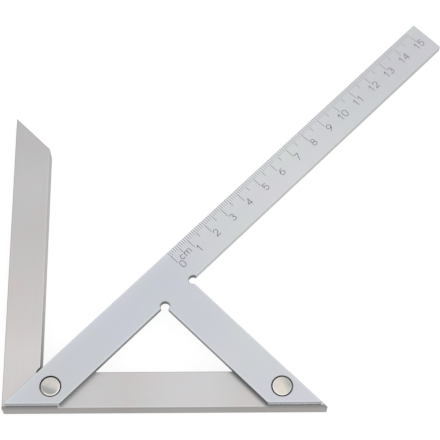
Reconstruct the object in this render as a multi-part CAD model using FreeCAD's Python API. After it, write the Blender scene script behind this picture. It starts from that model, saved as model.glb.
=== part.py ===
import FreeCAD, Part
import math
import os

# Centre square. Millimetres, +Z up, seen from above as in use.
# The origin is the outer corner of the square on its underside. The beam runs along +X,
# the upright leg along +Y, and the rule's measuring edge along the line y = x between them.

# The square, an angle of flat bar with both ends cut at 45 degrees
beam_length = 132.0
upright_length = 132.0
leg_width = 15.2
square_thickness = 8.0
leg_end_rounding = 2.0
corner_cutter_diameter = 3.0
square_edge_break = 0.25

# The blade, one plate that holds the rule and its brace
rule_width = 16.0
brace_width = 15.6
blade_thickness = 3.2
blade_margin = 0.9
zero_mark_distance = 94.1
scale_length = 150.0
rule_end_margin = 5.7
rule_end_rounding = 0.5
blade_tip_rounding = 0.3
foot_corner_rounding = 1.5
blade_edge_break = 0.2

# Relief holes in the two corners between rule and brace, drilled a little outside the rule's edge.
# The lower one is in line with the brace's inner edge, the upper one stands off its outer edge.
relief_hole_diameter = 4.0
relief_out = 0.4
upper_relief_along = 0.85

# Rivets: a head sunk in the blade, and a tail spread flush in the square's underside
head_diameter = 8.0
head_gap = 0.4
head_seat_depth = 1.8
head_crown = 0.15
head_rim_rounding = 0.35
head_recess = 0.05
shank_diameter = 6.0
shank_play = 0.05
tail_diameter = 7.8
corner_rivet_shift = 0.4
corner_rivet_rise = 0.25
brace_rivet_shift = 2.0
brace_rivet_rise = -0.15

half_root = math.sqrt(0.5)
up = FreeCAD.Vector(0, 0, 1)
blade_top = square_thickness + blade_thickness
rule_length = zero_mark_distance + scale_length + rule_end_margin
brace_outer_reach = beam_length * half_root - blade_margin
brace_inner_reach = brace_outer_reach - brace_width
rivet_row = (blade_margin + leg_width) / 2
# Where the centre lines of rule and brace cross the rivets' row, and how far each rivet is off it
corner_rivet_y = rivet_row + corner_rivet_rise
brace_rivet_y = rivet_row + brace_rivet_rise
corner_rivet_x = rivet_row + rule_width / 2 / half_root + corner_rivet_shift
brace_rivet_x = (brace_outer_reach - brace_width / 2) / half_root - rivet_row + brace_rivet_shift


def rule_point(along, out):
    """The point so far along the measuring edge from the outer corner, and so far to its brace side."""
    return FreeCAD.Vector((along + out) * half_root, (along - out) * half_root, 0)


def foot_point(along_or_out, is_brace):
    """Where an edge of the rule or of the brace meets the line of the feet, at the blade's margin."""
    if is_brace:
        return FreeCAD.Vector(along_or_out / half_root - blade_margin, blade_margin, 0)
    return FreeCAD.Vector(along_or_out / half_root + blade_margin, blade_margin, 0)


def outline(corners):
    """A closed wire through (point, rounding radius) corners, with an arc at each rounded one."""
    edges = []
    spans = []
    for i, (corner, radius) in enumerate(corners):
        before = (corners[i - 1][0] - corner).normalize()
        after = (corners[(i + 1) % len(corners)][0] - corner).normalize()
        half_angle = before.getAngle(after) / 2
        start = corner + before * (radius / math.tan(half_angle))
        end = corner + after * (radius / math.tan(half_angle))
        middle = corner + (before + after).normalize() * (radius / math.sin(half_angle) - radius)
        spans.append((start, middle, end, radius))
    for i, (start, middle, end, radius) in enumerate(spans):
        if radius > 0:
            edges.append(Part.Arc(start, middle, end).toShape())
        edges.append(Part.LineSegment(end, spans[(i + 1) % len(spans)][0]).toShape())
    return Part.Wire(edges)


def plate(wire, bottom, thickness):
    """A flat plate of the wire's outline from one height up."""
    solid = Part.Face(wire).extrude(up * thickness)
    solid.translate(up * bottom)
    return solid


def drill(x, y, bottom, top, diameter):
    """A round cutter or pin along Z between two heights."""
    return Part.makeCylinder(diameter / 2, top - bottom, FreeCAD.Vector(x, y, bottom), up)


def break_edges(solid, heights, size):
    """Chamfers every edge that lies flat at one of the heights, and no deeper than its roundings allow."""
    flat = []
    for edge in solid.Edges:
        box = edge.BoundBox
        if any(abs(box.ZMin - z) < 1e-6 and abs(box.ZMax - z) < 1e-6 for z in heights):
            flat.append(edge)
    radii = [edge.Curve.Radius for edge in flat if hasattr(edge.Curve, "Radius")]
    deepest = min([size] + [0.8 * radius for radius in radii])
    return solid.makeChamfer(deepest, flat)


def corner_relief():
    """The track of a cutter run in along the bisector until its centre reaches the inner corner."""
    inner = FreeCAD.Vector(leg_width, leg_width, 0)
    cutter = drill(inner.x, inner.y, -1, square_thickness + 1, corner_cutter_diameter)
    track = Part.makeBox(
        2 * corner_cutter_diameter,
        corner_cutter_diameter,
        square_thickness + 2,
        FreeCAD.Vector(0, -corner_cutter_diameter / 2, -1),
    )
    track.rotate(FreeCAD.Vector(0, 0, 0), up, 45)
    track.translate(inner)
    return cutter.fuse(track)


def make_square(rivet_places):
    """The angle: slanted ends, a relief in the inner corner, and two countersunk rivet holes."""
    slant = leg_width
    wire = outline(
        [
            (FreeCAD.Vector(0, 0, 0), 0),
            (FreeCAD.Vector(beam_length, 0, 0), 0),
            (FreeCAD.Vector(beam_length - slant, leg_width, 0), leg_end_rounding),
            (FreeCAD.Vector(leg_width, leg_width, 0), 0),
            (FreeCAD.Vector(leg_width, upright_length - slant, 0), leg_end_rounding),
            (FreeCAD.Vector(0, upright_length, 0), 0),
        ]
    )
    solid = plate(wire, 0, square_thickness).cut(corner_relief())
    solid = break_edges(solid, (0, square_thickness), square_edge_break)
    hole_diameter = shank_diameter + 2 * shank_play
    sink_depth = (tail_diameter - hole_diameter) / 2
    for x, y in rivet_places:
        sink = Part.makeCone(
            tail_diameter / 2, hole_diameter / 2, sink_depth, FreeCAD.Vector(x, y, 0), up
        )
        solid = solid.cut(drill(x, y, -1, square_thickness + 1, hole_diameter).fuse(sink))
    return solid


def make_blade(rivet_places):
    """The plate: rule along the bisector, brace square to it, feet cut in line with the beam."""
    wire = outline(
        [
            (foot_point(0, False), blade_tip_rounding),
            (foot_point(rule_width, False), foot_corner_rounding),
            (rule_point(brace_inner_reach, rule_width), 0),
            (foot_point(brace_inner_reach, True), foot_corner_rounding),
            (foot_point(brace_outer_reach, True), blade_tip_rounding),
            (rule_point(brace_outer_reach, rule_width), 0),
            (rule_point(rule_length, rule_width), rule_end_rounding),
            (rule_point(rule_length, 0), rule_end_rounding),
        ]
    )
    solid = plate(wire, square_thickness, blade_thickness)
    below = square_thickness - 1
    above = blade_top + 1
    lower = rule_point(brace_inner_reach, rule_width + relief_out)
    upper = rule_point(brace_outer_reach + upper_relief_along, rule_width + relief_out)
    for centre in (lower, upper):
        solid = solid.cut(drill(centre.x, centre.y, below, above, relief_hole_diameter))
    for x, y in rivet_places:
        solid = solid.cut(drill(x, y, below, above, shank_diameter + 2 * shank_play))
        seat = drill(x, y, blade_top - head_seat_depth, above, head_diameter + 2 * head_gap)
        solid = solid.cut(seat)
    return break_edges(solid, (square_thickness, blade_top), blade_edge_break)


def make_rivet(x, y):
    """A turned rivet: slightly crowned head with a rounded rim, plain shank and spread tail."""
    head_radius = head_diameter / 2
    shank_radius = shank_diameter / 2
    tail_radius = tail_diameter / 2
    seat = blade_top - head_seat_depth
    crown_top = blade_top - head_recess
    rim = crown_top - head_crown
    crown_edge = head_radius - head_rim_rounding

    def at(radius, height):
        return FreeCAD.Vector(radius, 0, height)

    turn = head_rim_rounding * half_root
    rounding = Part.Arc(
        at(head_radius, rim - head_rim_rounding),
        at(crown_edge + turn, rim - head_rim_rounding + turn),
        at(crown_edge, rim),
    ).toShape()
    crown_radius = (crown_edge**2 + head_crown**2) / (2 * head_crown)
    half_way = crown_edge / 2
    sag = crown_radius - math.sqrt(crown_radius**2 - half_way**2)
    crown = Part.Arc(at(crown_edge, rim), at(half_way, crown_top - sag), at(0, crown_top)).toShape()
    lower_points = [
        at(0, crown_top),
        at(0, 0),
        at(tail_radius, 0),
        at(shank_radius, tail_radius - shank_radius),
        at(shank_radius, seat),
        at(head_radius, seat),
        at(head_radius, rim - head_rim_rounding),
    ]
    lower = Part.makePolygon(lower_points).Edges
    profile = Part.Wire(lower + [rounding, crown])
    solid = Part.Face(profile).revolve(FreeCAD.Vector(0, 0, 0), up, 360)
    solid.translate(FreeCAD.Vector(x, y, 0))
    return solid


rivet_places = {
    "corner_rivet": (corner_rivet_x, corner_rivet_y),
    "brace_rivet": (brace_rivet_x, brace_rivet_y),
}
nodes = {
    "square": make_square(rivet_places.values()),
    "blade": make_blade(rivet_places.values()),
}
for name, place in rivet_places.items():
    nodes[name] = make_rivet(*place)

os.makedirs("parts", exist_ok=True)
for name, shape in nodes.items():
    solid = shape.Solids[0]
    solid.exportStep("parts/" + name + ".step")
    print(name, "valid", solid.isValid(), "solids", len(shape.Solids), "volume", round(solid.Volume, 1))
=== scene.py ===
import math

import bmesh
import bpy
import numpy as np
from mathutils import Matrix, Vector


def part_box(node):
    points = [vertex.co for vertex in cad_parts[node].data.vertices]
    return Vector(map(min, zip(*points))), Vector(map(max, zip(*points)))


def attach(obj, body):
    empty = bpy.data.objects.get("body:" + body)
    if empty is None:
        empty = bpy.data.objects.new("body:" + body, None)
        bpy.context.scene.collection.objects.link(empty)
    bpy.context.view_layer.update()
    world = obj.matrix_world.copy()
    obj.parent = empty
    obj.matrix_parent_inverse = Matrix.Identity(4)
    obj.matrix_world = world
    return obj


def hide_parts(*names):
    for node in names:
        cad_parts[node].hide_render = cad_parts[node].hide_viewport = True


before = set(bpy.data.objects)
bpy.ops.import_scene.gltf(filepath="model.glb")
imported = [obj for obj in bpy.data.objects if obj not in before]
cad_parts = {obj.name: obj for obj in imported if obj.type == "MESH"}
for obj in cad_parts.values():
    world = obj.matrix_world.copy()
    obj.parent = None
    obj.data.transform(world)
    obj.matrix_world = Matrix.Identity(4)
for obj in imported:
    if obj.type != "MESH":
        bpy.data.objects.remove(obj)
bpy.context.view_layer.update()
scene = bpy.context.scene

# The square
# A flat steel angle with a beam and an upright leg, cut and ground in one piece. It is left bare,
# with fine lines along each leg, a faint pink and green cloudiness, and its edges broken all round.

ground_steel_colour = (0.588, 0.565, 0.560, 1)
ground_steel_pink = (0.603, 0.557, 0.550, 1)
ground_steel_green = (0.575, 0.569, 0.558, 1)
# Painted shade: the edges and sides are darker than the faces
ground_edge_painted_shade = (0.36, 0.345, 0.333, 1)
ground_side_painted_shade = (0.258, 0.241, 0.227, 1)
# Painted shade up the sides: shares of that colour, at shares of the square's thickness
side_painted_shading = [
    (0.02, (0.80, 0.80, 0.80, 1)),
    (0.16, (0.99, 0.99, 0.99, 1)),
    (0.78, (0.96, 0.96, 0.96, 1)),
    (0.94, (0.71, 0.71, 0.71, 1)),
]
# Painted shade: the slit in the inner corner is near black
slit_painted_shade = (0.012, 0.012, 0.012, 1)
slit_reach = 0.0026
# Painted shade on the upright's inner side: shares of its own colour that it keeps, at places up it in
# metres
inner_side_painted_shade = [
    (0.0165, (0.10, 0.10, 0.10, 1)),
    (0.0210, (0.22, 0.21, 0.20, 1)),
    (0.0280, (0.48, 0.46, 0.45, 1)),
    (0.0400, (0.86, 0.85, 0.84, 1)),
    (0.0580, (1.18, 1.18, 1.18, 1)),
]
# The share of that painted shade on the inner side's edge
inner_edge_share = 0.6
ground_steel_roughness = (0.30, 0.40)
ground_steel_stretch = 0.6
grain_tint = (0.94, 1.06)
grain_bump, grain_depth = 0.12, 0.00002
grain_lines_per_metre = 5200
grain_runs_per_metre = 50
square_cloud_per_metre = 75
leg_width = 0.0152
blade_margin = 0.0009
foot_ends = ((0.0, 0.0228), (0.1080, 0.1320))
# Painted shadow of the blade on the square
blade_shadow_colour = (0.16, 0.155, 0.15, 1)
# How dark the painted shadow is against the blade, and how far it reaches
brace_shadow = (0.58, 0.0017)
foot_shadow = (0.84, 0.0044)
rule_shadow = (0.16, 0.0016)
# Painted light and shade at places up the upright and along the beam, in metres from the outer corner
upright_painted_shading = [
    (0.008, (1.120, 1.095, 1.105, 1)),
    (0.024, (1.145, 1.125, 1.135, 1)),
    (0.038, (1.055, 1.055, 1.050, 1)),
    (0.080, (0.945, 0.955, 0.965, 1)),
    (0.100, (0.957, 0.985, 1.005, 1)),
    (0.120, (0.890, 0.920, 0.935, 1)),
]
beam_painted_shading = [
    (0.035, (1.050, 1.055, 1.075, 1)),
    (0.050, (1.010, 1.020, 1.030, 1)),
    (0.068, (1.060, 1.100, 1.130, 1)),
    (0.084, (1.070, 1.100, 1.130, 1)),
    (0.096, (1.010, 1.045, 1.045, 1)),
    (0.110, (1.040, 1.055, 1.075, 1)),
]
# A painted highlight along the upright's inner edge and the beam's front edge: its reach and gain
square_highlight_reach, square_highlight_gain = 0.0008, 1.20
# How upright a face's normal is, from 0 to 1, where it turns into a level face and into a side
level_rise = (0.80, 0.95)
side_rise = (0.50, 0.25)
square_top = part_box("square")[1].z
half_root = math.sqrt(0.5)
brace_start = 0.076838


def add_node(tree, kind, inputs=None, **settings):
    """A node of one kind with its settings, and its sockets filled or linked by name or number."""
    node = tree.nodes.new(kind)
    for name, value in settings.items():
        setattr(node, name, value)
    for socket, value in (inputs or {}).items():
        if isinstance(value, bpy.types.NodeSocket):
            tree.links.new(value, node.inputs[socket])
        else:
            node.inputs[socket].default_value = value
    return node


def math_node(tree, operation, *values):
    """The result of a sum on values or sockets, named as the node names it."""
    node = add_node(tree, "ShaderNodeMath", dict(enumerate(values)), operation=operation)
    return node.outputs[0]


def measured(tree, operation, *vectors):
    """A number from vectors: the length of one, or the dot product of two."""
    node = add_node(tree, "ShaderNodeVectorMath", dict(enumerate(vectors)), operation=operation)
    return node.outputs["Value"]


def ranged(tree, value, start, end, low=0.0, high=1.0):
    """A value that runs from low to high while another runs from start to end, and stays past them."""
    node = add_node(
        tree,
        "ShaderNodeMapRange",
        {"Value": value, "From Min": start, "From Max": end, "To Min": low, "To Max": high},
    )
    return node.outputs["Result"]


def mixed(tree, share, first, second, blend_type="MIX"):
    """The first colour with a share, from 0 to 1, of the second laid over it."""
    inputs = {0: share, 6: first, 7: second}
    node = add_node(tree, "ShaderNodeMix", inputs, data_type="RGBA", blend_type=blend_type)
    return node.outputs[2]


def shaded(tree, colour, *factors):
    """A colour times other colours."""
    for factor in factors:
        colour = mixed(tree, 1.0, colour, factor, "MULTIPLY")
    return colour


def grey(tree, value):
    """A grey of that value, which may be a little over 1, to shade a colour with."""
    return add_node(tree, "ShaderNodeCombineColor", {0: value, 1: value, 2: value}).outputs[0]


def ramped(tree, value, stops, interpolation="LINEAR"):
    """A colour that runs through rising stops (where, colour) as a value goes from 0 to 1."""
    ramp = add_node(tree, "ShaderNodeValToRGB", {"Fac": value})
    ramp.color_ramp.interpolation = interpolation
    elements = ramp.color_ramp.elements
    elements[0].position = stops[0][0]
    elements[1].position = stops[-1][0]
    for at, _ in stops[1:-1]:
        elements.new(at)
    for element, (_, colour) in zip(elements, stops):
        element.color = colour
    return ramp.outputs["Color"]


def tinted(tree, value, stops):
    """A tint that runs through rising stops (metres, tint) as a value in metres passes them."""
    reach = stops[-1][0]
    share = math_node(tree, "DIVIDE", value, reach)
    return ramped(tree, share, [(at / reach, tint) for at, tint in stops])


def clouded(tree, place, per_metre, low, middle, high, spread=0.16):
    """A colour that drifts between three tints with a soft noise of that many patches a metre."""
    noise = add_node(
        tree,
        "ShaderNodeTexNoise",
        {"Vector": place, "Scale": per_metre, "Detail": 3.0, "Roughness": 0.55},
    )
    stops = [(0.5 - spread, low), (0.5, middle), (0.5 + spread, high)]
    return ramped(tree, noise.outputs["Fac"], stops)


def new_metal(name, anisotropic=0.0):
    """A bare metal with a node tree, and the shader in it that the finish is linked to."""
    material = bpy.data.materials.new(name)
    material.use_nodes = True
    shader = material.node_tree.nodes["Principled BSDF"]
    shader.inputs["Metallic"].default_value = 1.0
    shader.inputs["Anisotropic"].default_value = anisotropic
    return material, material.node_tree, shader


def finish_metal(tree, shader, colour, relief, roughness, bump, depth):
    """Links a colour and a relief from 0 to 1, which the roughness follows too, to a metal."""
    tree.links.new(colour, shader.inputs["Base Color"])
    tree.links.new(ranged(tree, relief, 0.0, 1.0, *roughness), shader.inputs["Roughness"])
    bumps = add_node(
        tree, "ShaderNodeBump", {"Height": relief, "Strength": bump, "Distance": depth}
    )
    tree.links.new(bumps.outputs["Normal"], shader.inputs["Normal"])


def zoned(tree, face, edge, side):
    """The face's colour on level faces, the edge's on slanting ones and the side's on upright ones."""
    normal = add_node(tree, "ShaderNodeNewGeometry").outputs["True Normal"]
    upward = add_node(tree, "ShaderNodeSeparateXYZ", {0: normal}).outputs["Z"]
    rise = math_node(tree, "ABSOLUTE", upward)
    colour = mixed(tree, ranged(tree, rise, *level_rise), edge, face)
    return mixed(tree, ranged(tree, rise, *side_rise), colour, side)


def from_axis(tree, place, centre):
    """The level way to a place from an upright axis through the centre."""
    inputs = {"Vector": place, "Location": (-centre[0], -centre[1], 0), "Scale": (1, 1, 0)}
    return add_node(tree, "ShaderNodeMapping", inputs).outputs[0]


def near_axis(tree, place, centre, reach):
    """1 within the reach of an upright axis through the centre, and 0 past it."""
    distance = measured(tree, "LENGTH", from_axis(tree, place, centre))
    return math_node(tree, "LESS_THAN", distance, reach)


def between(tree, value, start, end):
    """1 while a value is between two others, and 0 outside."""
    past_start = math_node(tree, "GREATER_THAN", value, start)
    return math_node(tree, "MULTIPLY", past_start, math_node(tree, "LESS_THAN", value, end))


def apart(tree, value, target):
    """How far a value is from another, either way."""
    return math_node(tree, "ABSOLUTE", math_node(tree, "SUBTRACT", value, target))


def rule_place(tree, axes):
    """How far along the measuring edge a place is, and how far out from it: (x + y, x - y) / root 2."""
    sums = []
    for operation in ("ADD", "SUBTRACT"):
        twice = math_node(tree, operation, axes["X"], axes["Y"])
        sums.append(math_node(tree, "MULTIPLY", twice, half_root))
    return sums


def soiled(tree, surface, axes):
    """Painted shadow in the corners between blade and beam, which fades out with distance and depth."""
    along, out = rule_place(tree, axes)
    from_rule = math_node(tree, "MULTIPLY", out, -1.0)
    from_foot = math_node(tree, "SUBTRACT", blade_margin, axes["Y"])
    by_feet = 0.0
    for start, end in foot_ends:
        by_feet = math_node(tree, "MAXIMUM", by_feet, between(tree, axes["X"], start, end))
    before_edge = math_node(tree, "LESS_THAN", axes["Y"], blade_margin)
    shadows = [
        (apart(tree, along, brace_start), brace_shadow, ("GREATER_THAN", axes["X"], brace_start)),
        (from_rule, rule_shadow, ("LESS_THAN", axes["X"], axes["Y"])),
        (from_foot, foot_shadow, ("MULTIPLY", by_feet, before_edge)),
    ]
    drop = math_node(tree, "SUBTRACT", square_top, axes["Z"])
    amount = 0.0
    for distance, (most, reach), where in shadows:
        off = math_node(tree, "ADD", distance, drop)
        fading = ranged(tree, off, 0.0, reach, most, 0.0)
        here = math_node(tree, "MULTIPLY", fading, math_node(tree, *where))
        amount = math_node(tree, "MAXIMUM", amount, here)
    return mixed(tree, amount, surface, blade_shadow_colour)


def by_leg(tree, on_beam, upright_way, beam_way):
    """One vector on the upright leg and another on the beam."""
    inputs = {0: on_beam, 4: upright_way, 5: beam_way}
    return add_node(tree, "ShaderNodeMix", inputs, data_type="VECTOR").outputs[1]


def ground_lines(tree, place, on_beam):
    """A noise drawn out along the leg that a place is on."""
    across, along = grain_lines_per_metre, grain_runs_per_metre
    ways = []
    for scale in ((across, along, across), (along, across, across)):
        drawn = add_node(tree, "ShaderNodeMapping", {"Vector": place, "Scale": scale})
        ways.append(drawn.outputs[0])
    noise = add_node(
        tree,
        "ShaderNodeTexNoise",
        {"Vector": by_leg(tree, on_beam, *ways), "Scale": 1.0, "Detail": 4.0, "Roughness": 0.65},
    )
    return noise.outputs["Fac"]


def ground_walls(tree, place, axes):
    """The colours of edges and sides, with painted shade up the sides and dark in the inner corner."""
    height = math_node(tree, "DIVIDE", axes["Z"], square_top)
    side = shaded(tree, ground_side_painted_shade, ramped(tree, height, side_painted_shading))
    on_inner_side = math_node(
        tree,
        "MULTIPLY",
        math_node(tree, "GREATER_THAN", axes["Y"], leg_width),
        math_node(tree, "GREATER_THAN", axes["X"], leg_width / 2),
    )
    inner_shade = tinted(tree, axes["Y"], inner_side_painted_shade)
    in_slit = near_axis(tree, place, (leg_width, leg_width), slit_reach)
    walls = []
    for colour, most in ((ground_edge_painted_shade, inner_edge_share), (side, 1.0)):
        share = math_node(tree, "MULTIPLY", on_inner_side, most)
        dimmed = mixed(tree, share, colour, inner_shade, "MULTIPLY")
        walls.append(mixed(tree, in_slit, dimmed, slit_painted_shade))
    return walls


def make_ground_steel():
    """Fine lines along the leg that each point is on, over a cloudy base, with painted shade and
    highlights.
    """
    material, tree, shader = new_metal("ground_steel", anisotropic=ground_steel_stretch)
    place = add_node(tree, "ShaderNodeTexCoord").outputs["Object"]
    axes = add_node(tree, "ShaderNodeSeparateXYZ", {0: place}).outputs
    on_beam = math_node(tree, "GREATER_THAN", axes["X"], axes["Y"])
    grain = ground_lines(tree, place, on_beam)
    cloud = clouded(
        tree,
        place,
        square_cloud_per_metre,
        ground_steel_pink,
        ground_steel_colour,
        ground_steel_green,
    )
    surface = soiled(tree, zoned(tree, cloud, *ground_walls(tree, place, axes)), axes)
    upright_shading = tinted(tree, axes["Y"], upright_painted_shading)
    leg_shading = mixed(tree, on_beam, upright_shading, tinted(tree, axes["X"], beam_painted_shading))
    from_inner_edge = apart(tree, axes["X"], leg_width)
    from_edge = add_node(tree, "ShaderNodeMix", {0: on_beam, 2: from_inner_edge, 3: axes["Y"]})
    painted_edge_light = ranged(
        tree, from_edge.outputs[0], 0.0, square_highlight_reach, square_highlight_gain, 1.0
    )
    grain_shade = ranged(tree, grain, 0.0, 1.0, *grain_tint)
    finish = shaded(tree, surface, leg_shading, grey(tree, painted_edge_light), grey(tree, grain_shade))
    finish_metal(tree, shader, finish, grain, ground_steel_roughness, grain_bump, grain_depth)
    tree.links.new(by_leg(tree, on_beam, (1, 0, 0), (0, 1, 0)), shader.inputs["Tangent"])
    return material


def dress(thing, material):
    """Gives the material to every slot of a thing, and a first slot where it has none."""
    if not thing.material_slots:
        thing.data.materials.append(material)
    for slot in thing.material_slots:
        slot.material = material


dress(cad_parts["square"], make_ground_steel())

# The blade
# One steel plate that holds the rule and its brace, stamped, ground flat and plated in matt chrome.
# Two rivets fix its feet on the beam, and the scale is cut into its top along the measuring edge.

blade_bottom, blade_top = [corner.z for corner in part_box("blade")]
rule_width = 0.016
brace_end = 0.092438
chrome_colour = (0.638, 0.655, 0.705, 1)
chrome_green = (0.627, 0.663, 0.688, 1)
chrome_violet = (0.648, 0.650, 0.716, 1)
# Painted shade: the edges and sides are darker than the face, darkest in the window
chrome_edge_painted_shade = (0.52, 0.53, 0.55, 1)
chrome_side_painted_shade = (0.44, 0.45, 0.465, 1)
window_side_painted_shade = (0.18, 0.184, 0.192, 1)
# Painted shade and light up the feet's front sides, at shares of the blade's thickness
foot_side_painted_shading = [
    (0.00, (0.32, 0.32, 0.33, 1)),
    (0.20, (0.70, 0.71, 0.75, 1)),
    (0.42, (0.82, 0.83, 0.88, 1)),
    (0.72, (0.37, 0.38, 0.41, 1)),
    (1.00, (0.27, 0.28, 0.30, 1)),
]
# Painted shade on the feet's front edges
foot_edge_painted_shade = (0.37, 0.372, 0.385, 1)
# How far in from a wall its colour holds: on the feet's fronts, along their edges, in the window
front_depth, foot_edge_depth, window_depth = 0.0001, 0.00025, 0.0005
# Painted highlights on the long edges, less beyond the brace
blade_highlight_reach, blade_highlight_gain = 0.0009, 1.20
blade_highlight_end_gain = 1.06
blade_highlight_changes = (0.085, 0.110)
# A painted sheen on the strip under the scale's lines, less towards the rule's end
strip_start, strip_end, strip_out = 0.0935, 0.2450, 0.0025
strip_fade = 0.0003
strip_gains = (1.115, 1.03)
# Painted sheen at places along the rule, in metres from the outer corner
rule_painted_sheen = [
    (0.006, (0.912, 0.922, 0.935, 1)),
    (0.016, (0.905, 0.907, 0.885, 1)),
    (0.055, (0.918, 0.923, 0.940, 1)),
    (0.085, (0.912, 0.917, 0.930, 1)),
    (0.110, (0.965, 0.965, 0.935, 1)),
    (0.160, (0.996, 0.986, 0.950, 1)),
    (0.225, (0.890, 0.873, 0.862, 1)),
]
# Painted sheen at places out from the measuring edge, over the rule and down the brace
brace_painted_sheen = [
    (0.0020, (1.040, 1.040, 1.030, 1)),
    (0.0034, (1.015, 1.015, 1.005, 1)),
    (0.0080, (1.000, 1.000, 1.000, 1)),
    (0.0130, (1.008, 1.016, 1.000, 1)),
    (0.0300, (1.010, 1.015, 1.000, 1)),
    (0.0500, (1.048, 1.038, 1.008, 1)),
    (0.0850, (1.025, 1.015, 1.005, 1)),
]
# Painted shade: the relief holes' sides are near black
relief_side_painted_shade = (0.115, 0.117, 0.12, 1)
relief_reach = 0.0023
chrome_roughness = (0.36, 0.44)
# Painted shade in the gaps about the rivets' heads
gap_shade_colour = (0.13, 0.126, 0.122, 1)
gap_shade_reach = 0.00465
gap_shade_depth = 0.00025
gap_shade_top = 0.00012
# The share of the painted gap shade that is left on the lighter side of each rivet
gap_shade_lighter_share = 0.25
head_radius = 0.004
# The way to the lighter side of each rivet's painted gap shade
lighter_ways = {"corner_rivet": (-0.70, -0.71, 0), "brace_rivet": (0.50, 0.87, 0)}
chrome_cloud_per_metre = 60
chrome_tooth_per_metre = 3800
tooth_tint = (0.97, 1.03)
tooth_bump, tooth_depth = 0.1, 0.00001
relief_out, upper_relief_along = 0.0164, 0.00085
relief_places = []
for along in (brace_start, brace_end + upper_relief_along):
    relief_places.append(((along + relief_out) * half_root, (along - relief_out) * half_root))


def thickness_about(tree, from_centre, lighter_way):
    """How dark the painted gap shade is about a rivet: full, and less on its lighter side."""
    toward = measured(tree, "DOT_PRODUCT", from_centre, lighter_way)
    return ranged(tree, toward, 0.0, head_radius, 1.0, gap_shade_lighter_share)


def grimed(tree, surface, place, height):
    """Painted shade below the blade's face, in the gaps about the rivets' heads."""
    gap_shade_share = 0.0
    for name, lighter_way in lighter_ways.items():
        low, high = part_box(name)
        centre = (low + high) / 2
        about = thickness_about(tree, from_axis(tree, place, centre), lighter_way)
        here = math_node(tree, "MULTIPLY", near_axis(tree, place, centre, gap_shade_reach), about)
        gap_shade_share = math_node(tree, "MAXIMUM", gap_shade_share, here)
    below = math_node(tree, "LESS_THAN", height, blade_top - gap_shade_top)
    return mixed(tree, math_node(tree, "MULTIPLY", gap_shade_share, below), surface, gap_shade_colour)


def least(tree, *values):
    """The smallest of some values."""
    smallest = values[0]
    for value in values[1:]:
        smallest = math_node(tree, "MINIMUM", smallest, value)
    return smallest


def rubbed_edges(tree, axes, along, out):
    """A painted highlight, a grey a little over 1, on the long edges of rule and brace and the feet's
    front edges.
    """
    from_brace = least(tree, apart(tree, along, brace_start), apart(tree, along, brace_end))
    from_brace = math_node(tree, "ADD", from_brace, math_node(tree, "LESS_THAN", out, rule_width))
    beside_brace = between(tree, along, brace_start, brace_end)
    from_far_edge = math_node(tree, "ADD", apart(tree, out, rule_width), beside_brace)
    from_foot = math_node(tree, "SUBTRACT", axes["Y"], blade_margin)
    nearest = least(tree, from_brace, from_far_edge, out, from_foot)
    most = ranged(tree, along, *blade_highlight_changes, blade_highlight_gain, blade_highlight_end_gain)
    return grey(tree, ranged(tree, nearest, 0.0, blade_highlight_reach, most, 1.0))


def polished_strip(tree, along, out):
    """A painted sheen, a grey a little over 1, on the strip of the scale's lines, less towards the
    rule's end.
    """
    past_start = math_node(tree, "SUBTRACT", along, strip_start)
    before_end = math_node(tree, "SUBTRACT", strip_end, along)
    inside = least(tree, past_start, before_end, math_node(tree, "SUBTRACT", strip_out, out))
    most = ranged(tree, along, strip_start, strip_end, *strip_gains)
    return grey(tree, ranged(tree, inside, 0.0, strip_fade, 1.0, most))


def plated_walls(tree, place, axes, along):
    """The colours of edges and sides, with painted shade: banded on the feet's fronts, dark in window
    and reliefs.
    """
    in_window = math_node(tree, "LESS_THAN", along, brace_start + window_depth)
    side = mixed(tree, in_window, chrome_side_painted_shade, window_side_painted_shade)
    at_front = math_node(tree, "LESS_THAN", axes["Y"], blade_margin + front_depth)
    rise = ranged(tree, axes["Z"], blade_bottom, blade_top)
    side = mixed(tree, at_front, side, ramped(tree, rise, foot_side_painted_shading))
    for centre in relief_places:
        in_relief = near_axis(tree, place, centre, relief_reach)
        side = mixed(tree, in_relief, side, relief_side_painted_shade)
    on_foot_edge = math_node(tree, "LESS_THAN", axes["Y"], blade_margin + foot_edge_depth)
    return mixed(tree, on_foot_edge, chrome_edge_painted_shade, foot_edge_painted_shade), side


def make_matt_chrome():
    """A plated skin with a very fine even tooth and faint bluish, greenish and violet patches, and
    painted shade and sheen.
    """
    material, tree, shader = new_metal("matt_chrome")
    place = add_node(tree, "ShaderNodeTexCoord").outputs["Object"]
    axes = add_node(tree, "ShaderNodeSeparateXYZ", {0: place}).outputs
    along, out = rule_place(tree, axes)
    cloud = clouded(
        tree, place, chrome_cloud_per_metre, chrome_violet, chrome_colour, chrome_green
    )
    tooth = add_node(
        tree,
        "ShaderNodeTexNoise",
        {"Vector": place, "Scale": chrome_tooth_per_metre, "Detail": 2.0, "Roughness": 0.5},
    ).outputs["Fac"]
    surface = zoned(tree, cloud, *plated_walls(tree, place, axes, along))
    finish = shaded(
        tree,
        grimed(tree, surface, place, axes["Z"]),
        tinted(tree, along, rule_painted_sheen),
        tinted(tree, out, brace_painted_sheen),
        rubbed_edges(tree, axes, along, out),
        polished_strip(tree, along, out),
        grey(tree, ranged(tree, tooth, 0.0, 1.0, *tooth_tint)),
    )
    finish_metal(tree, shader, finish, tooth, chrome_roughness, tooth_bump, tooth_depth)
    return material


matt_chrome = make_matt_chrome()
dress(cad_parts["blade"], matt_chrome)

# The scale
# Lines at every millimetre from 0 to 150, longer at the fives and tens, with the centimetres
# numbered beside them. They are cut into a copy of the blade, which stands for the plain one, and
# filled with black enamel that is worn thin towards the rule's end.

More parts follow.
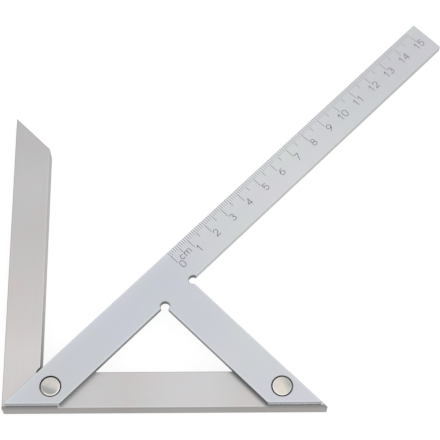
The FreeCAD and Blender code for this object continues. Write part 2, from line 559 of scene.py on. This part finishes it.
zero_mark = 0.0941
scale_millimetres = 150
pitch = 0.001
tick_start = 0.0003
tick_ends = {10: 0.0064, 5: 0.0045, 1: 0.0024}
tick_half_width = 0.000102
stroke_half_width = 0.000128
glyph_height = 0.00305
glyph_top = 0.0068
glyph_pitch = 0.0027
side_bearing = 0.00015
unit_height = 0.0020
unit_top = 0.0050
unit_start = 0.0025
unit_pitch = 0.0024
groove_depth = 0.00008
# Corners of the groove and of its filling, as shares of half the width and of the groove's depth.
# The groove is open a little above the blade, and the enamel lies a little below and fills it.
groove_corners = [(-1.25, 0.5), (1.25, 0.5), (0.5, -1.0), (-0.5, -1.0)]
filling_corners = [(-1.15, -0.12), (1.15, -0.12), (0.7, -1.15), (-0.7, -1.15)]
# Turns at which the round end of a stroke has its rings
end_turns = (75, 50, 25)

# Strokes in a cell one high, each a chain of points (x, y) and arcs (x, y, rx, ry, from, to)
glyphs = {
    "0": [[(0.34, 0.66, 0.33, 0.34, 0, 180), (0.34, 0.34, 0.33, 0.34, 180, 360), (0.67, 0.66)]],
    "1": [[(0.38, 0), (0.38, 1)], [(0.38, 1), (0.12, 0.78)]],
    "2": [[(0.34, 0.68, 0.31, 0.32, 165, -35), (0.03, 0)], [(0.03, 0), (0.68, 0)]],
    "3": [[(0.32, 0.765, 0.27, 0.235, 150, -90)], [(0.32, 0.265, 0.33, 0.265, 90, -150)]],
    "4": [[(0.5, 0), (0.5, 1)], [(0.5, 1), (0, 0.3)], [(0, 0.3), (0.68, 0.3)]],
    "5": [
        [(0.62, 1), (0.12, 1)],
        [(0.12, 1), (0.07, 0.54)],
        [(0.33, 0.325, 0.33, 0.325, 138, -150)],
    ],
    "6": [[(0.34, 0.32, 0.32, 0.32, 0, 360)], [(0.68, 0.32, 0.66, 0.68, 180, 97)]],
    "7": [[(0.02, 1), (0.66, 1)], [(0.66, 1), (0.22, 0)]],
    "8": [
        [(0.34, 0.755, 0.27, 0.245, 0, 360)],
        [(0.34, 0.265, 0.33, 0.265, 0, 360)],
    ],
    "9": [[(0.34, 0.68, 0.32, 0.32, 0, 360)], [(0.0, 0.68, 0.66, 0.68, 0, -83)]],
    "c": [[(0.42, 0.5, 0.42, 0.5, 50, 310)]],
    "m": [
        [(0, 0), (0, 1)],
        [(0.37, 0.64, 0.37, 0.36, 180, 0), (0.74, 0)],
        [(1.11, 0.64, 0.37, 0.36, 180, 0), (1.48, 0)],
    ],
}
arc_step = 15.0
# Points of a path that are closer than this are one
point_gap = 1e-7


def chain(stroke):
    """The points of a stroke: its own points, and arcs as (x + rx cos t, y + ry sin t)."""
    points = []
    for part in stroke:
        if len(part) == 2:
            points.append([part])
            continue
        x, y, rx, ry, start, end = part
        turn = np.radians(np.linspace(start, end, int(abs(end - start) / arc_step) + 2))
        points.append(np.stack([x + rx * np.cos(turn), y + ry * np.sin(turn)], 1))
    return np.concatenate(points)


def write(passes, text, start, top, height, advance):
    """Adds a text's centre lines (along, out) to the passes, its tops towards the measuring edge.

    The strokes of a glyph touch each other, so each is cut in a pass of its own.
    """
    for i, letter in enumerate(text):
        for cuts, stroke in zip(passes, glyphs[letter]):
            cell = chain(stroke)
            along = start + i * advance + cell[:, 0] * height
            cuts.append(np.stack([along, top + (1 - cell[:, 1]) * height], 1))


def swept(path, profile):
    """A profile (across, height) carried along a path (along, out) on the blade's top.

    Ring i stands at path point i and faces the mean direction of its two runs:
    point + across * normal / cos(half the bend), at blade_top + height. A closed path joins up.
    On an open one each end is rounded by rings at end + w sin t, narrowed to cos t, w the half width.
    """
    closed = np.allclose(path[0], path[-1])
    keep = np.append(True, np.linalg.norm(np.diff(path, axis=0), axis=1) > point_gap)
    path = path[keep]
    if closed:
        path = path[:-1]
        runs = np.roll(path, -1, 0) - path
        before = np.roll(runs, 1, 0)
    else:
        runs = np.diff(path, axis=0)
        before = np.concatenate([runs[:1], runs])
        runs = np.concatenate([runs, runs[-1:]])
    before = before / np.linalg.norm(before, axis=1, keepdims=True)
    runs = runs / np.linalg.norm(runs, axis=1, keepdims=True)
    facing = before + runs
    facing = facing / np.linalg.norm(facing, axis=1, keepdims=True)
    widen = 1 / np.sum(facing * runs, axis=1)
    if not closed:
        half_width = np.abs(profile[:, 0]).max()
        turn = np.radians(end_turns)
        reach, narrow = (half_width * np.sin(turn))[:, None], np.cos(turn)
        path = np.concatenate(
            [path[:1] - facing[:1] * reach, path, path[-1:] + facing[-1:] * reach[::-1]]
        )
        rings = len(end_turns)
        facing = np.concatenate([facing[:1]] * rings + [facing] + [facing[-1:]] * rings)
        widen = np.concatenate([narrow, widen, narrow[::-1]])
    normal = np.stack([-facing[:, 1], facing[:, 0]], 1) * widen[:, None]
    flat = path[:, None, :] + profile[None, :, :1] * normal[:, None, :]
    along, out = flat[..., 0], flat[..., 1]
    height = np.broadcast_to(blade_top + profile[:, 1], along.shape)
    points = np.stack([(along + out) * half_root, (along - out) * half_root, height], 2)
    rings, sides = along.shape
    ring = np.arange(rings if closed else rings - 1)[:, None]
    side = np.arange(sides)[None, :]
    a = ring * sides + side
    b = ring * sides + (side + 1) % sides
    c = (ring + 1) % rings * sides + (side + 1) % sides
    d = (ring + 1) % rings * sides + side
    faces = np.stack([a, b, c, d], 2).reshape(-1, 4).tolist()
    if not closed:
        faces.append(list(range(sides))[::-1])
        faces.append(list(range((rings - 1) * sides, rings * sides)))
    return points.reshape(-1, 3), faces


def swept_object(name, lines, profile):
    """One mesh of the profile carried along every line."""
    points, faces, count = [], [], 0
    for line in lines:
        new_points, new_faces = swept(line, profile)
        points.append(new_points)
        faces += [[corner + count for corner in face] for face in new_faces]
        count += len(new_points)
    mesh = bpy.data.meshes.new(name)
    mesh.from_pydata(np.concatenate(points).tolist(), [], faces)
    tidy = bmesh.new()
    tidy.from_mesh(mesh)
    bmesh.ops.recalc_face_normals(tidy, faces=tidy.faces)
    tidy.to_mesh(mesh)
    tidy.free()
    thing = bpy.data.objects.new(name, mesh)
    scene.collection.objects.link(thing)
    return thing


def tick_lines():
    """A straight line at each millimetre, as long as its place on the scale asks."""
    lines = []
    for millimetre in range(scale_millimetres + 1):
        step = 10 if millimetre % 10 == 0 else 5 if millimetre % 5 == 0 else 1
        along = zero_mark + millimetre * pitch
        lines.append(np.array([[along, tick_start], [along, tick_ends[step]]]))
    return [lines]


def numeral_lines():
    """The centimetres 0 to 15, each with the left of its last digit at its mark."""
    passes = [[], [], []]
    for centimetre in range(scale_millimetres // 10 + 1):
        text = str(centimetre)
        start = zero_mark + centimetre * 10 * pitch + side_bearing
        start -= (len(text) - 1) * glyph_pitch
        write(passes, text, start, glyph_top, glyph_height, glyph_pitch)
    return passes


def unit_lines():
    """The letters cm, small, above the first numerals."""
    passes = [[], [], []]
    write(passes, "c", zero_mark + unit_start, unit_top, unit_height, 0)
    write(passes, "m", zero_mark + unit_start + unit_pitch, unit_top, unit_height, 0)
    return passes


wear_start, wear_end = 0.114, 0.244
line_wear, numeral_wear = 0.40, 0.10
# The passes that cut each part, half the width of its strokes, and its wear at the rule's end
scale_parts = {
    "scale_lines": (tick_lines(), tick_half_width, line_wear),
    "scale_numerals": (numeral_lines(), stroke_half_width, numeral_wear),
    "scale_unit": (unit_lines(), stroke_half_width, numeral_wear),
}
worn_colour = (0.55, 0.56, 0.58, 1)
enamel_colours = [(0.03, 0.03, 0.035, 1), (0.045, 0.045, 0.05, 1), (0.075, 0.075, 0.08, 1)]
enamel_cloud_per_metre = 900
enamel_roughness = 0.55
merge_reach = 1e-6
flat_angle = math.radians(0.5)
sharp_angle = math.radians(25)


def make_enamel(name, wear):
    """Black enamel, dull and a little mottled, and worn thinner towards the rule's end."""
    material = bpy.data.materials.new(name)
    material.use_nodes = True
    tree = material.node_tree
    shader = tree.nodes["Principled BSDF"]
    place = add_node(tree, "ShaderNodeTexCoord").outputs["Object"]
    mottled = clouded(tree, place, enamel_cloud_per_metre, *enamel_colours)
    axes = add_node(tree, "ShaderNodeSeparateXYZ", {0: place}).outputs
    along, _ = rule_place(tree, axes)
    worn = mixed(tree, ranged(tree, along, wear_start, wear_end, 0.0, wear), mottled, worn_colour)
    tree.links.new(worn, shader.inputs["Base Color"])
    shader.inputs["Roughness"].default_value = enamel_roughness
    return material


cutters = []
for name, (passes, half_width, wear) in scale_parts.items():
    size = (half_width, groove_depth)
    filling = swept_object(name, sum(passes, []), np.multiply(filling_corners, size))
    dress(filling, make_enamel(name + "_enamel", wear))
    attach(filling, "root")
    groove = np.multiply(groove_corners, size)
    cutters += [swept_object(name + "_cutter", lines, groove) for lines in passes if lines]


def merged_copy(name, source):
    """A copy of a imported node's surface, its loose triangles joined into one closed mesh."""
    mesh = bpy.data.meshes.new(name)
    tidy = bmesh.new()
    tidy.from_mesh(source.data)
    bmesh.ops.remove_doubles(tidy, verts=tidy.verts, dist=merge_reach)
    bmesh.ops.dissolve_limit(
        tidy, angle_limit=flat_angle, verts=tidy.verts, edges=tidy.edges
    )
    tidy.to_mesh(mesh)
    tidy.free()
    if "custom_normal" in mesh.attributes:
        mesh.attributes.remove(mesh.attributes["custom_normal"])
    copy = bpy.data.objects.new(name, mesh)
    scene.collection.objects.link(copy)
    return copy


def engrave(thing, cutters):
    """Cuts the cutters out of the thing, and leaves no modifier behind."""
    for cutter in cutters:
        cut = thing.modifiers.new("engraving", "BOOLEAN")
        cut.operation = "DIFFERENCE"
        cut.solver = "MANIFOLD"
        cut.object = cutter
    evaluated = thing.evaluated_get(bpy.context.evaluated_depsgraph_get())
    mesh = bpy.data.meshes.new_from_object(evaluated)
    thing.modifiers.clear()
    thing.data = mesh
    for cutter in cutters:
        bpy.data.objects.remove(cutter)
    split = bmesh.new()
    split.from_mesh(mesh)
    bmesh.ops.triangulate(split, faces=split.faces)
    split.to_mesh(mesh)
    split.free()
    mesh.shade_smooth()
    mesh.set_sharp_from_angle(angle=sharp_angle)


engraved_blade = merged_copy("engraved_blade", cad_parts["blade"])
engrave(engraved_blade, cutters)
dress(engraved_blade, matt_chrome)
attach(engraved_blade, "root")
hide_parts("blade")

# The rivets
# Two turned steel pins, set through the blade's feet and the beam. Each head sits a hair below the
# blade's face in its seat, faced on the lathe, so it shows fine rings and a warm tone, under painted
# reflections across it and a painted highlight on its rim.

rivet_colour = (0.690, 0.650, 0.600, 1)
rivet_warm = (0.740, 0.670, 0.600, 1)
rivet_green = (0.600, 0.620, 0.580, 1)
# A painted highlight on each rivet's rim
rivet_rim_highlight = (0.92, 0.905, 0.88, 1)
rivet_rim_start, rivet_rim_fade = 0.00335, 0.0003
# The painted highlight on the rim grows between these places towards its brightest side, and keeps this
# share elsewhere
rim_highlight_stretch = (-0.0005, 0.0028)
rim_highlight_least = 0.15
rivet_cloud_per_metre = 330
rivet_roughness = (0.16, 0.26)
rings_per_metre = 5500
ring_bump, ring_depth = 0.1, 0.00002
rim_drop = 0.0004
rim_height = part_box("corner_rivet")[1].z - rim_drop
# For each rivet the way in which its painted reflections change, the tint at places that way from
# its centre, and the way to the brightest part of its rim's painted highlight
rivet_painted_reflections = {
    "corner_rivet": (
        (-0.36, -0.93, 0),
        [
            (-0.0032, (0.89, 0.91, 0.95, 1)),
            (-0.0016, (0.99, 0.97, 0.97, 1)),
            (0.0000, (0.90, 0.91, 0.92, 1)),
            (0.0015, (0.60, 0.63, 0.70, 1)),
            (0.0027, (0.57, 0.60, 0.64, 1)),
            (0.0036, (0.84, 0.88, 0.84, 1)),
        ],
        (0.35, -0.94, 0),
    ),
    "brace_rivet": (
        (0.90, 0.43, 0),
        [
            (-0.0020, (1.09, 1.08, 1.075, 1)),
            (0.0000, (1.03, 1.01, 1.00, 1)),
            (0.0017, (0.85, 0.86, 0.87, 1)),
            (0.0028, (0.69, 0.71, 0.72, 1)),
            (0.0036, (0.66, 0.68, 0.69, 1)),
        ],
        (-0.80, -0.60, 0),
    ),
}


def make_rivet_steel(name, centre, way, reflection_tints, highlight_way, lighter_way):
    """Rings about the rivet's own axis, a warm head with painted reflections, and a painted rim
    highlight.
    """
    material, tree, shader = new_metal(name)
    place = add_node(tree, "ShaderNodeTexCoord").outputs["Object"]
    from_centre = from_axis(tree, place, centre)
    distance = measured(tree, "LENGTH", from_centre)
    rings = add_node(
        tree,
        "ShaderNodeTexNoise",
        {"W": distance, "Scale": rings_per_metre, "Detail": 3.0},
        noise_dimensions="1D",
    ).outputs["Fac"]
    cloud = clouded(tree, place, rivet_cloud_per_metre, rivet_green, rivet_colour, rivet_warm)
    across = measured(tree, "DOT_PRODUCT", from_centre, way)
    share = ranged(tree, across, -head_radius, head_radius)
    stops = [(0.5 + at / (2 * head_radius), tint) for at, tint in reflection_tints]
    head = shaded(tree, cloud, ramped(tree, share, stops, "EASE"))
    at_rim = ranged(tree, distance, rivet_rim_start, rivet_rim_start + rivet_rim_fade)
    toward_highlight = measured(tree, "DOT_PRODUCT", from_centre, highlight_way)
    rim_highlight_share = ranged(tree, toward_highlight, *rim_highlight_stretch, rim_highlight_least)
    rim_highlight = math_node(tree, "MULTIPLY", at_rim, rim_highlight_share)
    surface = mixed(tree, rim_highlight, head, rivet_rim_highlight)
    height = add_node(tree, "ShaderNodeSeparateXYZ", {0: place}).outputs["Z"]
    # Painted shade in the gap below the rim
    below_rim = ranged(tree, height, rim_height, rim_height - gap_shade_depth)
    gap_shade_share = thickness_about(tree, from_centre, lighter_way)
    gap_shaded_surface = mixed(tree, math_node(tree, "MULTIPLY", below_rim, gap_shade_share), surface, gap_shade_colour)
    finish_metal(tree, shader, gap_shaded_surface, rings, rivet_roughness, ring_bump, ring_depth)
    return material


for name, (way, reflection_tints, highlight_way) in rivet_painted_reflections.items():
    low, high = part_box(name)
    centre = (low + high) / 2
    steel = make_rivet_steel(name + "_steel", centre, way, reflection_tints, highlight_way, lighter_ways[name])
    dress(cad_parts[name], steel)

# The setting
# A white table that keeps the soft shadow of the tool, a pale room that is lighter on the right,
# one soft lamp there, and the camera where the photograph was taken, tilted back a little.

room_level = 1.03
ceiling_lean = (0.38, -0.10, 0)
table_reach, table_drop = 6.0, 0.00005
table_colour = (0.22, 0.22, 0.22, 1)
table_glow = 0.84
lamp_place = (1.05, 0.35, 0.85)
lamp_size = (0.5, 0.5)
lamp_tilt = (0.0, 0.90, 0.22)
lamp_watts = 0.6
camera_place = (0.087751, -0.176801, 0.597425)
camera_turn = (0.414845, 0.000632, -0.005965)
camera_lens, camera_sensor = 123.505, 36.0


def make_table():
    """A flat table under the tool, white to the eye, and darker where the tool keeps light off it."""
    mesh = bpy.data.meshes.new("table")
    corners = np.array([(-1, -1), (1, -1), (1, 1), (-1, 1)]) * table_reach
    points = [(x, y, -table_drop) for x, y in corners.tolist()]
    mesh.from_pydata(points, [], [(0, 1, 2, 3)])
    table = bpy.data.objects.new("table", mesh)
    scene.collection.objects.link(table)
    material = bpy.data.materials.new("table_white")
    material.use_nodes = True
    tree = material.node_tree
    tree.nodes.remove(tree.nodes["Principled BSDF"])
    rays = add_node(tree, "ShaderNodeLightPath")
    seen = rays.outputs["Is Camera Ray"]
    for kind in ("Is Glossy Ray", "Is Transmission Ray"):
        seen = math_node(tree, "MAXIMUM", seen, rays.outputs[kind])
    glow = math_node(tree, "MULTIPLY", seen, table_glow)
    matt = add_node(tree, "ShaderNodeBsdfDiffuse", {"Color": table_colour})
    light = add_node(tree, "ShaderNodeEmission", {"Color": (1, 1, 1, 1), "Strength": glow})
    both = add_node(tree, "ShaderNodeAddShader", {0: matt.outputs[0], 1: light.outputs[0]})
    tree.links.new(both.outputs[0], tree.nodes["Material Output"].inputs["Surface"])
    dress(table, material)


def make_room():
    """A pale room with even walls, and a ceiling that is lighter on the right."""
    world = bpy.data.worlds.new("room")
    world.use_nodes = True
    tree = world.node_tree
    toward = add_node(tree, "ShaderNodeTexCoord").outputs["Generated"]
    rise = add_node(tree, "ShaderNodeSeparateXYZ", {0: toward}).outputs["Z"]
    lean = measured(tree, "DOT_PRODUCT", toward, ceiling_lean)
    level = math_node(tree, "MULTIPLY_ADD", lean, rise, room_level)
    tree.links.new(level, tree.nodes["Background"].inputs["Strength"])
    tree.nodes["Background"].inputs["Color"].default_value = (1, 1, 1, 1)
    scene.world = world


def make_lamp():
    """A soft square lamp, up on the right and turned to the tool."""
    lamp = bpy.data.objects.new("lamp", bpy.data.lights.new("lamp", "AREA"))
    lamp.data.shape = "RECTANGLE"
    lamp.data.size, lamp.data.size_y = lamp_size
    lamp.data.energy = lamp_watts
    lamp.location = lamp_place
    lamp.rotation_euler = lamp_tilt
    scene.collection.objects.link(lamp)


def make_camera():
    """The photograph's view, from in front of the beam and high above it."""
    camera = bpy.data.objects.new("camera", bpy.data.cameras.new("camera"))
    camera.data.lens = camera_lens
    camera.data.sensor_width = camera_sensor
    camera.location = camera_place
    camera.rotation_euler = camera_turn
    scene.collection.objects.link(camera)
    scene.camera = camera


make_table()
make_room()
make_lamp()
make_camera()
scene.view_settings.view_transform = "Standard"
